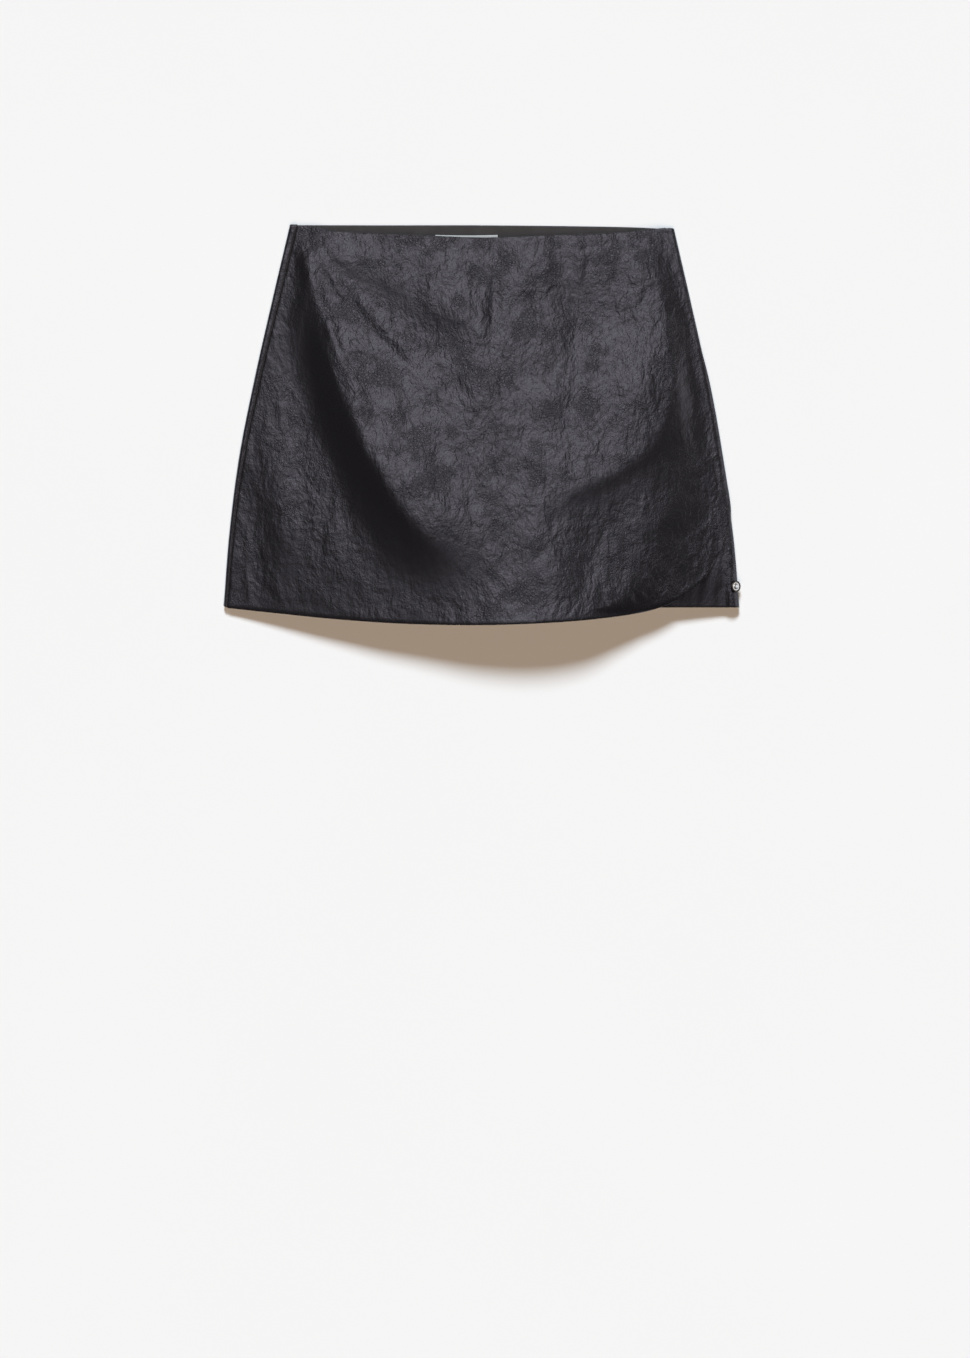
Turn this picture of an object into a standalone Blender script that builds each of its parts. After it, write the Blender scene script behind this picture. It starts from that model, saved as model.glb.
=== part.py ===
"""A faux leather skort, laid flat: the shorts' back lies on the surface, its legs' fronts lie over
the back, and a wrap front with one big rounded corner lies over the legs.

X runs across the garment, Y from the hem to the waist and Z up from the surface. Metres.
Each panel is drawn as its outer face, and its wall is added on the inside of that face.
"""

import math

import bmesh
import bpy
import numpy as np
from mathutils import Matrix, Vector

WALL = 0.0012  # leathercloth, backing included
HEM_WALL = 0.0020  # the wrap's hem, turned up once
HEM_DEPTH = 0.025
THICKER_FROM = -0.040  # down the wrap, room is left for its thicker hem
THICKER_BY = -0.122
SEAM_GAP = 0.0003
LAYER_GAP = 0.0005  # between panels that lie on each other

WAIST_Y = 0.195  # depths are measured down from here
LEG_HEM_Y = -0.1771
CROTCH_Y = -0.088
LEG_SPREAD = 0.009  # half the gap between the legs at their hems
PARTING_POWER = 0.8  # the legs part a little faster just under the crotch

# The sides of the shorts, seen from above.
SIDES = (  # depth, left edge, right edge
    (0.000, -0.1863, 0.1867),
    (0.075, -0.2039, 0.2039),
    (0.150, -0.2208, 0.2204),
    (0.225, -0.2356, 0.2336),
    (0.300, -0.2452, 0.2448),
    (0.375, -0.2510, 0.2512),
)

BACK_WAIST = (  # x, y
    (-0.190, 0.1952),
    (-0.100, 0.1950),
    (0.000, 0.1950),
    (0.090, 0.1942),
    (0.150, 0.1930),
    (0.190, 0.1908),
)
FRONT_WAIST = (
    (-0.179, 0.1940),
    (-0.160, 0.1927),
    (-0.140, 0.1882),
    (-0.075, 0.1850),
    (0.000, 0.1817),
    (0.070, 0.1842),
    (0.130, 0.1868),
    (0.179, 0.1919),
)
WRAP_HEM = (  # from the left seam to the middle of the rounded corner
    (-0.2468, -0.1778),
    (-0.1960, -0.1834),
    (-0.1376, -0.1893),
    (-0.0700, -0.1938),
    (0.0036, -0.1951),
    (0.0700, -0.1927),
    (0.1220, -0.1878),
    (0.1640, -0.1805),
    (0.1930, -0.1686),
    (0.2170, -0.1495),
)
WRAP_FREE_EDGE = (  # from the waist to the middle of the corner, measured over the rolled side
    (0.1789, 0.1919),
    (0.1898, 0.1597),
    (0.2010, 0.1200),
    (0.2110, 0.0830),
    (0.2215, 0.0470),
    (0.2290, 0.0150),
    (0.2350, -0.0200),
    (0.2400, -0.0530),
    (0.2432, -0.0800),
    (0.2385, -0.1050),
    (0.2300, -0.1270),
    (0.2170, -0.1495),
)

# How the garment stands off the surface.
HEIGHTS = (  # depth, left stack, right stack of the shorts, right roll's reach, rise in the middle
    (0.000, 0.0065, 0.0055, 0.0040, 0.0045),
    (0.100, 0.0067, 0.0068, 0.0050, 0.0138),
    (0.200, 0.0070, 0.0083, 0.0062, 0.0230),
    (0.300, 0.0073, 0.0100, 0.0074, 0.0280),
    (0.390, 0.0078, 0.0118, 0.0086, 0.0260),
)
LEFT_ROLL_REACH = 0.0030
LEFT_STEP = 0.0004  # the turned side lies this much under the wrap's face
STRIP_AT_WAIST = 0.0078  # from the left edge to the side seam
STRIP_AT_HEM = 0.0038
CROWN_POWER = 1.2  # the front's crown across is a sine to this power
FORM_MARGIN = 0.07  # the broad forms fade out over this share of the width at each side
FORM_DEPTH = 0.035  # and over this depth under the waist
FORMS = (  # start, middle, end, half width, height: broad swells that all the layers follow
    ((-0.172, 0.105), (-0.166, -0.010), (-0.100, -0.165), 0.030, -0.0018),
    ((-0.165, 0.180), (-0.110, 0.000), (-0.022, -0.122), 0.040, 0.0088),
    ((0.150, 0.160), (0.158, 0.000), (0.052, -0.074), 0.048, 0.0092),
)

# Between the wrap and the legs.
SPREAD = 0.0032
FREE_MARGIN = 0.060  # in from the seam and the free edge, over which the wrap comes free
FREE_DEPTH = 0.070
LEG_FALL_POWER = 2.5
RISE_ABOVE_CROTCH = 0.110

FOLDS = (  # start, middle, end, half width, height: the wrap's own folds
    ((-0.169, 0.160), (-0.123, 0.000), (-0.038, -0.128), 0.013, 0.0030),
    ((-0.181, 0.140), (-0.155, -0.008), (-0.077, -0.152), 0.023, -0.0022),
    ((-0.166, 0.186), (-0.100, 0.142), (0.000, 0.095), 0.016, 0.0022),
    ((-0.166, 0.172), (-0.105, 0.110), (0.020, 0.076), 0.024, -0.0026),
    ((-0.160, 0.192), (-0.115, 0.172), (-0.070, 0.170), 0.012, 0.0014),
    ((-0.218, 0.120), (-0.211, 0.000), (-0.188, -0.135), 0.015, 0.0030),
    ((-0.234, -0.020), (-0.230, -0.080), (-0.216, -0.145), 0.013, -0.0020),
    ((-0.024, 0.092), (-0.010, 0.088), (0.004, 0.088), 0.022, 0.0020),
    ((0.046, 0.165), (0.050, 0.125), (0.040, 0.100), 0.018, 0.0010),
    ((0.070, 0.132), (0.110, 0.128), (0.145, 0.136), 0.018, -0.0012),
    ((0.132, 0.046), (0.146, 0.040), (0.158, 0.030), 0.024, 0.0018),
    ((-0.066, -0.045), (-0.036, -0.085), (-0.010, -0.108), 0.020, 0.0014),
    ((0.050, -0.104), (0.066, -0.136), (0.082, -0.168), 0.030, 0.0034),
    ((0.024, -0.228), (0.064, -0.232), (0.104, -0.228), 0.058, 0.0100),
    ((0.190, 0.080), (0.166, -0.016), (0.066, -0.070), 0.013, 0.0016),
    ((0.187, -0.030), (0.166, -0.110), (0.104, -0.210), 0.034, 0.0048),
)

FACING_DEPTH = 0.045
FACING_WALL = 0.0010
FACING_INSET = 0.0008  # its top edge is turned under the back's
FACING_END = 0.0055
LABEL_WIDTH = 0.0604
LABEL_DEPTH = 0.020
LABEL_CENTRE_X = -0.0144
LABEL_TOP_Y = 0.1853
LABEL_SAG = 0.0005

STUD_RADIUS = 0.0057
STUD_Y = -0.1568
STUD_TURN = math.radians(45)  # how far round the right roll it sits
STUD_FLAT = 0.014  # the stud flattens this much of the roll, up and down
STUD_FLATTENS = 0.55  # and makes its round section this much squarer off
STUD_CHORD = 0.05  # radians each way, over which the roll's slope is read
STUD_SIDES = 28
STUD_PROFILE = (  # radius, height: the rim, a groove and a low dome
    (0.0000, 0.0000),
    (0.0052, 0.0000),
    (0.0057, 0.0005),
    (0.0056, 0.0012),
    (0.0050, 0.0017),
    (0.0044, 0.0017),
    (0.0040, 0.0011),
    (0.0031, 0.0011),
    (0.0024, 0.0018),
    (0.0013, 0.0022),
    (0.0000, 0.0023),
)

# How finely the shapes are drawn.
CURVE_STEPS = 24
TABLE_STEPS = 400
EDGE_STEPS = 300
CORNER_STEPS = 120
CORNER_SHARE = 0.85  # the corner's curve is the hem past this share of its length
PATH_STEPS = 120
WRAP_COLUMNS = 47
WRAP_EDGE_COLUMNS = 7  # finer ones where the wrap goes round the right side
WRAP_EDGE_FROM = 0.955
WRAP_ROWS = 40
LEG_COLUMNS = 20
LEG_ROWS = 26
LEG_ROLL_STEPS = 12
BACK_COLUMNS = 7
BACK_ROWS = 20
BACK_ROLL_STEPS = 11
FACING_COLUMNS = 12
FACING_ROWS = 3
LABEL_COLUMNS = 8
LABEL_ROWS = 2
STUD_SEAT_ROWS = 9
STUD_SEAT_STEPS = 40
SHARP = math.radians(50)
STUD_SHARP = math.radians(40)

BLACK = (0.020, 0.019, 0.021)
INSIDE = (0.043, 0.040, 0.040)
WHITE = (0.80, 0.79, 0.76)
METAL = (0.45, 0.45, 0.46)


def along(points, fractions):
    """Points on a smooth curve through the given ones, at fractions of its length."""
    knots = np.array(points, float)
    ends = np.vstack([2 * knots[0] - knots[1], knots, 2 * knots[-1] - knots[-2]])
    step = np.linspace(0, 1, CURVE_STEPS, endpoint=False)[:, None]
    stretches = []
    for a, b, c, d in zip(ends, ends[1:], ends[2:], ends[3:]):
        cubic = (3 * b - a - 3 * c + d) * step**3 + (2 * a - 5 * b + 4 * c - d) * step**2
        stretches.append(0.5 * (cubic + (c - a) * step + 2 * b))
    fine = np.vstack(stretches + [knots[-1:]])
    run = np.insert(np.cumsum(np.linalg.norm(np.diff(fine, axis=0), axis=1)), 0, 0.0)
    wanted = np.asarray(fractions) * run[-1]
    return np.column_stack([np.interp(wanted, run, column) for column in fine.T])


def height_of(table, x):
    """The table's curve, read as y at x."""
    curve = along(table, np.linspace(0, 1, TABLE_STEPS))
    return np.interp(x, curve[:, 0], curve[:, 1])


def read(table, column, y):
    """A column of a table of depths, on a smooth curve."""
    rows = np.array(table)
    return height_of(rows[:, [0, column]], WAIST_Y - y)


def smooth(value):
    """Eases from 0 to 1."""
    t = np.clip(value, 0, 1)
    return t * t * (3 - 2 * t)


def left_edge(y):
    return read(SIDES, 1, y)


def right_edge(y):
    return read(SIDES, 2, y)


def left_seam(y):
    """The side seam, a little way in from the left edge, because the back is turned over the side."""
    down = (WAIST_Y - y) / (WAIST_Y - LEG_HEM_Y)
    return left_edge(y) + STRIP_AT_WAIST + (STRIP_AT_HEM - STRIP_AT_WAIST) * down


def roll_reach(y):
    return read(HEIGHTS, 3, y)


def roll_start(y):
    """Where the right side starts to roll under."""
    return right_edge(y) - roll_reach(y)


def wrap_drop(y):
    """From the wrap's outer face down to the legs' outer face, where they lie together."""
    hem = smooth((THICKER_FROM - y) / (THICKER_FROM - THICKER_BY))
    return LAYER_GAP + WALL + (HEM_WALL - WALL) * hem


def free_edge_x(y):
    edge = along(WRAP_FREE_EDGE, np.linspace(0, 1, EDGE_STEPS))
    corner = along(WRAP_HEM, np.linspace(1, CORNER_SHARE, CORNER_STEPS))
    both = np.vstack([edge, corner])[::-1]
    return np.interp(y, both[:, 1], both[:, 0])


def freedom(x, y):
    """0 where the wrap is held or lies on the legs, 1 where it is free."""
    inward = np.minimum(x - left_seam(y), free_edge_x(y) - x)
    return smooth(inward / FREE_MARGIN) * smooth((WAIST_Y - y) / FREE_DEPTH)


def relief(table, x, y):
    """The table's ridges and troughs: each runs along a bent path and fades out at both ends."""
    t = np.linspace(0, 1, PATH_STEPS)
    fade = np.sqrt(np.sin(math.pi * t))
    total = np.zeros_like(x)
    for start, middle, end, width, height in table:
        start, middle, end = (np.array(p) for p in (start, middle, end))
        bend = 2 * middle - (start + end) / 2
        path = np.outer((1 - t) ** 2, start) + np.outer(2 * t * (1 - t), bend) + np.outer(t**2, end)
        squared = (x[..., None] - path[:, 0]) ** 2 + (y[..., None] - path[:, 1]) ** 2
        total += height * (fade * np.exp(-squared / width**2)).max(axis=-1)
    return total


def crown(x, y):
    """The wrap's outer face, without its own folds."""
    across = np.clip((x - left_seam(y)) / (roll_start(y) - left_seam(y)), 0, 1)
    left = read(HEIGHTS, 1, y)
    right = read(HEIGHTS, 2, y) + wrap_drop(y)
    rise = read(HEIGHTS, 4, y) * np.sin(math.pi * across) ** CROWN_POWER
    settled = smooth(across / FORM_MARGIN) * smooth((1 - across) / FORM_MARGIN)
    settled = settled * smooth((WAIST_Y - y) / FORM_DEPTH)
    return left + (right - left) * smooth(across) + rise + relief(FORMS, x, y) * settled


def leg_top(x, y):
    """The outer face of the legs' fronts: under the wrap at the side, down on the back at the inseam."""
    under_wrap = crown(x, y) - wrap_drop(y) - SPREAD * freedom(x, y)
    side = np.where(x < 0, left_seam(y), roll_start(y))
    inward = np.clip(1 - x / side, 0, 1)
    joined = smooth((y - CROTCH_Y) / RISE_ABOVE_CROTCH)
    fall = (1 - joined) * inward**LEG_FALL_POWER
    on_back = 2 * WALL + SEAM_GAP
    return under_wrap + (on_back - under_wrap) * fall


def around_roll(y, turn, layer):
    """The right side's roll: turn is 0 on top and pi underneath, layer is 0 on the legs' face."""
    flattened = 2 - STUD_FLATTENS * np.exp(-(((y - STUD_Y) / STUD_FLAT) ** 2))
    half = read(HEIGHTS, 2, y) / 2
    quarter = np.where(turn < math.pi / 2, 2 / flattened, 1.0)
    x = roll_start(y) + (roll_reach(y) + layer) * np.abs(np.sin(turn)) ** quarter
    z = half + (half + layer) * np.sign(np.cos(turn)) * np.abs(np.cos(turn)) ** quarter
    return x, z


def inner_edge(y):
    """Half the seam gap down to the crotch, and then the legs part."""
    below = np.clip((CROTCH_Y - y) / (CROTCH_Y - LEG_HEM_Y), 0, 1)
    return SEAM_GAP / 2 + LEG_SPREAD * below**PARTING_POWER


def rows_between(top_y, count):
    """Heights of the rows of a panel, from its waist edge to the legs' hem, column by column."""
    down = np.linspace(0, 1, count + 1)[:, None]
    return top_y + (LEG_HEM_Y - top_y) * down


def material(name, colour, roughness, metallic=0.0):
    made = bpy.data.materials.new(name)
    made.use_nodes = True
    shader = made.node_tree.nodes["Principled BSDF"]
    shader.inputs["Base Color"].default_value = (*colour, 1)
    shader.inputs["Roughness"].default_value = roughness
    shader.inputs["Metallic"].default_value = metallic
    return made


def add_object(name, mesh, finish):
    mesh.materials.append(finish)
    thing = bpy.data.objects.new(name, mesh)
    bpy.context.scene.collection.objects.link(thing)
    return thing


def sheet(name, face, finish, wall=WALL, hem=None):
    """A panel from rows of points on its outer face, which looks up where the columns run to +X."""
    down, across = face.shape[0] - 1, face.shape[1] - 1
    shape = bmesh.new()
    bmesh.ops.create_grid(shape, x_segments=across, y_segments=down, size=1)
    flat = sorted(shape.verts, key=lambda v: (-round(v.co.y, 5), round(v.co.x, 5)))
    for vertex, place in zip(flat, face.reshape(-1, 3)):
        vertex.co = place
    mesh = bpy.data.meshes.new(name)
    shape.to_mesh(mesh)
    shape.free()
    panel = add_object(name, mesh, finish)
    thicken = panel.modifiers.new("wall", "SOLIDIFY")
    thicken.offset = -1
    thicken.use_even_offset = True
    thicken.thickness = wall
    if hem:
        thicken.thickness = hem
        group = panel.vertex_groups.new(name="wall")
        for vertex in mesh.vertices:
            turned_up = vertex.co.y < hem_line(vertex.co.x) + HEM_DEPTH
            group.add([vertex.index], 1.0 if turned_up else wall / hem, "REPLACE")
        thicken.vertex_group = group.name
    mesh.shade_smooth()
    mesh.set_sharp_from_angle(angle=SHARP)
    return panel


def hem_line(x):
    return height_of(WRAP_HEM, x)


def wrap_front(finish):
    """The wrap: its four edges are drawn flat, filled in, and laid over the crown and the right roll."""
    coarse = np.linspace(0, WRAP_EDGE_FROM, WRAP_COLUMNS + 1)
    across = np.concatenate([coarse[:-1], np.linspace(WRAP_EDGE_FROM, 1, WRAP_EDGE_COLUMNS + 1)])
    down = np.linspace(0, 1, WRAP_ROWS + 1)
    seam_y = np.linspace(FRONT_WAIST[0][1], WRAP_HEM[0][1], WRAP_ROWS)
    seam = np.column_stack([left_seam(seam_y) + SEAM_GAP / 2, seam_y])
    waist, hem = (np.array(edge) for edge in (FRONT_WAIST, WRAP_HEM))
    waist[0], hem[0] = seam[0], seam[-1]
    top, bottom = along(waist, across)[None], along(hem, across)[None]
    left, right = along(seam, down)[:, None], along(WRAP_FREE_EDGE, down)[:, None]
    u, v = across[None, :, None], down[:, None, None]
    corners = (1 - u) * ((1 - v) * top[:, :1] + v * bottom[:, :1])
    corners = corners + u * ((1 - v) * top[:, -1:] + v * bottom[:, -1:])
    flat = (1 - v) * top + v * bottom + (1 - u) * left + u * right - corners
    x, y = flat[..., 0], flat[..., 1]
    z = crown(x, y) + relief(FOLDS, x, y) * freedom(x, y)
    drop = wrap_drop(y)
    radius = (roll_reach(y) + read(HEIGHTS, 2, y) / 2) / 2 + drop
    over = np.clip(x - roll_start(y), 0, None)
    rolled_x, rolled_z = around_roll(y, over / radius, drop)
    x, z = np.where(over > 0, rolled_x, x), np.where(over > 0, rolled_z, z)
    return sheet("wrap_front", np.stack([x, y, z], axis=-1), finish, hem=HEM_WALL)


def front_waist_y(x):
    return height_of(FRONT_WAIST + BACK_WAIST[-1:], x) - SEAM_GAP


def place_columns(side_x, y, across):
    """Columns spread from the inner edge to the given side."""
    inner = np.where(side_x < 0, -inner_edge(y), inner_edge(y))
    return inner + (side_x - inner) * across


def shorts_front(name, side, finish):
    """One leg's front. The left one ends at the side seam and the right one rolls under to it."""
    across = np.linspace(0, 1, LEG_COLUMNS + 1)[None]
    reach = left_seam(WAIST_Y) if side < 0 else roll_start(WAIST_Y)
    y = rows_between(front_waist_y(across * reach), LEG_ROWS)
    side_x = left_seam(y) + SEAM_GAP / 2 if side < 0 else roll_start(y)
    x = place_columns(side_x, y, across)
    face = np.stack([x, y, leg_top(x, y)], axis=-1)
    if side < 0:
        return sheet(name, face[:, ::-1], finish)
    turn = np.linspace(0, math.pi, LEG_ROLL_STEPS + 1)[None, 1:]
    y = rows_between(front_waist_y(reach + np.sin(turn) * roll_reach(WAIST_Y)), LEG_ROWS)
    x, z = around_roll(y, turn, 0)
    return sheet(name, np.concatenate([face, np.stack([x, y, z], axis=-1)], axis=1), finish)


def back(name, side, finish):
    """One half of the back. The left half is turned up over the side to the side seam."""
    across = np.linspace(0, 1, BACK_COLUMNS + 1)[None]
    reach = left_edge(WAIST_Y) + LEFT_ROLL_REACH if side < 0 else roll_start(WAIST_Y)
    y = rows_between(height_of(BACK_WAIST, across * reach), BACK_ROWS)
    side_x = left_edge(y) + LEFT_ROLL_REACH if side < 0 else roll_start(y) - SEAM_GAP
    x = place_columns(side_x, y, across)
    face = np.stack([x, y, np.zeros_like(x)], axis=-1)
    if side > 0:
        return sheet(name, face[:, ::-1], finish)
    turn = np.linspace(math.pi, 0, BACK_ROLL_STEPS + 1)[None, 1:]
    y = rows_between(height_of(BACK_WAIST, left_edge(WAIST_Y) + 0 * turn), BACK_ROWS)
    half = (read(HEIGHTS, 1, y) - LEFT_STEP) / 2
    x = left_edge(y) + LEFT_ROLL_REACH * (1 - np.sin(turn))
    rolled = np.stack([x, y, half * (1 + np.cos(turn))], axis=-1)
    strip = rolled[:, -1:].copy()
    strip[..., 0] = left_seam(strip[..., 1]) - SEAM_GAP / 2
    return sheet(name, np.concatenate([face, rolled, strip], axis=1), finish)


def back_facing(finish):
    """The facing lies on the inside of the back and is turned under along the waist."""
    ends = left_edge(WAIST_Y) + FACING_END, roll_start(WAIST_Y) - FACING_END / 2
    x = np.linspace(*ends, FACING_COLUMNS + 1)[None]
    top = height_of(BACK_WAIST, x) - FACING_INSET
    y = top - np.linspace(0, FACING_DEPTH, FACING_ROWS + 1)[:, None]
    x = x + 0 * y
    z = np.full_like(x, WALL + SEAM_GAP + FACING_WALL)
    return sheet("back_facing", np.stack([x, y, z], axis=-1), finish, wall=FACING_WALL)


def label(finish):
    """A blank woven label, sewn flat on the facing, with its top edge sagging a little."""
    along_x = np.linspace(-1, 1, LABEL_COLUMNS + 1)[None]
    x = LABEL_CENTRE_X + along_x * LABEL_WIDTH / 2
    top = LABEL_TOP_Y - LABEL_SAG * (1 - along_x**2)
    y = top - np.linspace(0, LABEL_DEPTH, LABEL_ROWS + 1)[:, None]
    x = x + 0 * y
    z = np.full_like(x, WALL + 2 * SEAM_GAP + 2 * FACING_WALL)
    return sheet("label", np.stack([x, y, z], axis=-1), finish, wall=FACING_WALL)


def stud_cap(finish):
    """A round metal cap, turned on a lathe and set on the right leg's rolled edge."""
    shape = bmesh.new()
    profile = [shape.verts.new((radius, 0, height)) for radius, height in STUD_PROFILE]
    lines = [shape.edges.new(pair) for pair in zip(profile, profile[1:])]
    bmesh.ops.spin(
        shape,
        geom=profile + lines,
        cent=(0, 0, 0),
        axis=(0, 0, 1),
        angle=2 * math.pi,
        steps=STUD_SIDES,
        use_merge=True,
    )
    bmesh.ops.remove_doubles(shape, verts=shape.verts, dist=1e-6)
    bmesh.ops.recalc_face_normals(shape, faces=shape.faces)
    turns = STUD_TURN + np.array([-STUD_CHORD, STUD_CHORD])
    (x0, x1), (z0, z1) = around_roll(np.array([STUD_Y]), turns, 0)
    slope = math.atan2(z0 - z1, x1 - x0)
    out = Vector((math.sin(slope), 0, math.cos(slope)))
    under = np.linspace(STUD_Y - STUD_RADIUS, STUD_Y + STUD_RADIUS, STUD_SEAT_ROWS)[:, None]
    x, z = around_roll(under, np.linspace(0, math.pi / 2, STUD_SEAT_STEPS)[None], 0)
    seat = (x * out.x + z * out.z).max() + SEAM_GAP
    middle = Vector(((x0 + x1) / 2, STUD_Y, (z0 + z1) / 2))
    middle += out * (seat - middle.dot(out))
    place = Matrix.Translation(middle) @ Matrix.Rotation(slope, 4, "Y")
    bmesh.ops.transform(shape, matrix=place, verts=shape.verts)
    mesh = bpy.data.meshes.new("stud_cap")
    shape.to_mesh(mesh)
    shape.free()
    mesh.shade_smooth()
    mesh.set_sharp_from_angle(angle=STUD_SHARP)
    return add_object("stud_cap", mesh, finish)


def main():
    for thing in list(bpy.data.objects):
        bpy.data.objects.remove(thing, do_unlink=True)
    outside = material("leathercloth", BLACK, 0.45)
    inside = material("facing cloth", INSIDE, 0.8)
    wrap_front(outside)
    shorts_front("shorts_front_left", -1, outside)
    shorts_front("shorts_front_right", 1, outside)
    back("back_left", -1, outside)
    back("back_right", 1, outside)
    back_facing(inside)
    label(material("woven label", WHITE, 0.9))
    stud_cap(material("stud metal", METAL, 0.3, 1.0))


main()
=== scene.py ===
"""The finish of a faux leather skort that lies flat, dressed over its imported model.

Left and right are as seen from above, with the waist at the top (+Y). Metres.
"""

import math

import bmesh
import bpy
import numpy as np
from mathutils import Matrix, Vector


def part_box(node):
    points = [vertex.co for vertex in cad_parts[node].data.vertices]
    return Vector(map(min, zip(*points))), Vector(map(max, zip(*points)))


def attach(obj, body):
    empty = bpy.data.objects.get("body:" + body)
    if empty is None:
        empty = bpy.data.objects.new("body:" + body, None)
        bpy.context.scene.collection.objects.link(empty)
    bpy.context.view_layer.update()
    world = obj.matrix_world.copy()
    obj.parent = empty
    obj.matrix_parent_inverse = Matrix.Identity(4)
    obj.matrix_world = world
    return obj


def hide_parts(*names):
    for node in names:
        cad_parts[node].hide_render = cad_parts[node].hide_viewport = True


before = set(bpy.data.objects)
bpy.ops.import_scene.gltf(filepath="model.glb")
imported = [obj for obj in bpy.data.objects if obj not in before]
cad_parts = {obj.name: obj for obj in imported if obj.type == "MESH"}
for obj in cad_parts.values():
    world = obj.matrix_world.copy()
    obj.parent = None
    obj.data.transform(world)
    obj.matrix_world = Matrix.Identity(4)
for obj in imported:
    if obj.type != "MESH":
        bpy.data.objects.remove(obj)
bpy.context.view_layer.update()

# ---------------------------------------------------------------------------------------------
# The back: two halves of black leathercloth, seamed down the middle. It lies flat on the surface,
# and its left half turns up over the side as far as the side seam. All the outer panels are cut
# from this cloth: a polyurethane skin with a pebbled, crackled grain on a knitted backing.

WAIST_Y = 0.195  # depths are measured down from here
LEG_HEM_Y = -0.1771
CROTCH_Y = -0.088
LEG_SPREAD = 0.009
WALL = 0.0012
SEAM_GAP = 0.0003
SIDES = (  # depth, left edge, right edge
    (0.000, -0.1863, 0.1867),
    (0.075, -0.2039, 0.2039),
    (0.150, -0.2208, 0.2204),
    (0.225, -0.2356, 0.2336),
    (0.300, -0.2452, 0.2448),
    (0.375, -0.2510, 0.2512),
)
HEIGHTS = (  # depth, left stack, right stack of the shorts, right roll's reach, rise in the middle
    (0.000, 0.0065, 0.0055, 0.0040, 0.0045),
    (0.100, 0.0067, 0.0068, 0.0050, 0.0138),
    (0.200, 0.0070, 0.0083, 0.0062, 0.0230),
    (0.300, 0.0073, 0.0100, 0.0074, 0.0280),
    (0.390, 0.0078, 0.0118, 0.0086, 0.0260),
)
BACK_WAIST = (  # x, y
    (-0.190, 0.1952),
    (-0.100, 0.1950),
    (0.000, 0.1950),
    (0.090, 0.1942),
    (0.150, 0.1930),
    (0.190, 0.1908),
)
LEFT_ROLL_REACH = 0.0030
LEFT_STEP = 0.0004  # the turned strip lies this much under the wrap beside it
STRIP_AT_WAIST = 0.0078
STRIP_AT_HEM = 0.0038
CORNER_ROUND = 0.004  # the hem's left corner is worn round
LEG_PARTING = 0.8  # how early the two legs part below the crotch
SEAM_DIP = 0.0005
SEAM_WIDTH = 0.0011
BACK_COLUMNS = 70
BACK_ROWS = 110
TURN_STEPS = 21
STRIP_STEPS = 8
BEVEL = 0.00035
SHARP = math.radians(50)
EDGE_FADE = 0.0010
TAUT_TILT = -0.08  # towards the waist: cloth pulled taut over a swell is smooth
SLACK_TILT = 0.05
SLACK_BLURS = 6
SKIN = (0.0062, 0.0056, 0.0066)
# pale along the edges: rubbed wear, and a painted highlight where the turned edges catch the light
SKIN_WEAR_AND_SHEEN = (0.030, 0.027, 0.027)
SKIN_TINT = (0.60, 0.70, 1.0, 1.0)  # the polyurethane film reflects coolly
# how dark the painted shade in the cracks is
CRACK_PAINTED_SHADE = 0.6
PATCH = 0.030  # the patches of crumpled skin, and those in which the creping runs one way
CREPE_WIDTH = 0.0016
CREPE_LENGTH = 0.0060
CREPE_TURN = 70
CREPE_TURNS = ((0.43, 120), (0.50, 10), (0.57, 40))  # from this heading on, turned by so much
CRACK = 0.0027
PEBBLE = 0.0012
DENT_WIDTH = 0.032
DENT_LENGTH = 0.055


def along(points, fractions):
    """Points on a smooth curve through the given ones, at fractions of its length."""
    knots = np.array(points, float)
    ends = np.vstack([2 * knots[0] - knots[1], knots, 2 * knots[-1] - knots[-2]])
    step = np.linspace(0, 1, 24, endpoint=False)[:, None]
    stretches = []
    for a, b, c, d in zip(ends, ends[1:], ends[2:], ends[3:]):
        cubic = (3 * b - a - 3 * c + d) * step**3 + (2 * a - 5 * b + 4 * c - d) * step**2
        stretches.append(0.5 * (cubic + (c - a) * step + 2 * b))
    fine = np.vstack(stretches + [knots[-1:]])
    run = np.insert(np.cumsum(np.linalg.norm(np.diff(fine, axis=0), axis=1)), 0, 0.0)
    wanted = np.asarray(fractions) * run[-1]
    return np.column_stack([np.interp(wanted, run, column) for column in fine.T])


def height_of(table, x):
    curve = along(table, np.linspace(0, 1, 400))
    return np.interp(x, curve[:, 0], curve[:, 1])


def read(table, column, y):
    return height_of(np.array(table)[:, [0, column]], WAIST_Y - y)


def smooth(value):
    t = np.clip(value, 0, 1)
    return t * t * (3 - 2 * t)


def left_edge(y):
    return read(SIDES, 1, y)


def left_seam(y):
    down = (WAIST_Y - y) / (WAIST_Y - LEG_HEM_Y)
    return left_edge(y) + STRIP_AT_WAIST + (STRIP_AT_HEM - STRIP_AT_WAIST) * down


def roll_reach(y):
    return read(HEIGHTS, 3, y)


def roll_start(y):
    return read(SIDES, 2, y) - roll_reach(y)


def inner_edge(y):
    below = np.clip((CROTCH_Y - y) / (CROTCH_Y - LEG_HEM_Y), 0, 1)
    return SEAM_GAP / 2 + LEG_SPREAD * below**LEG_PARTING


def rows_between(top_y, count):
    down = np.linspace(0, 1, count + 1)[:, None]
    return top_y + (LEG_HEM_Y - top_y) * down


def place_columns(side_x, y, across):
    inner = np.where(side_x < 0, -inner_edge(y), inner_edge(y))
    return inner + (side_x - inner) * across


def seam_round(distance):
    """A seamed edge turns down into its seam."""
    return -SEAM_DIP * np.exp(-((distance / SEAM_WIDTH) ** 2))


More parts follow.
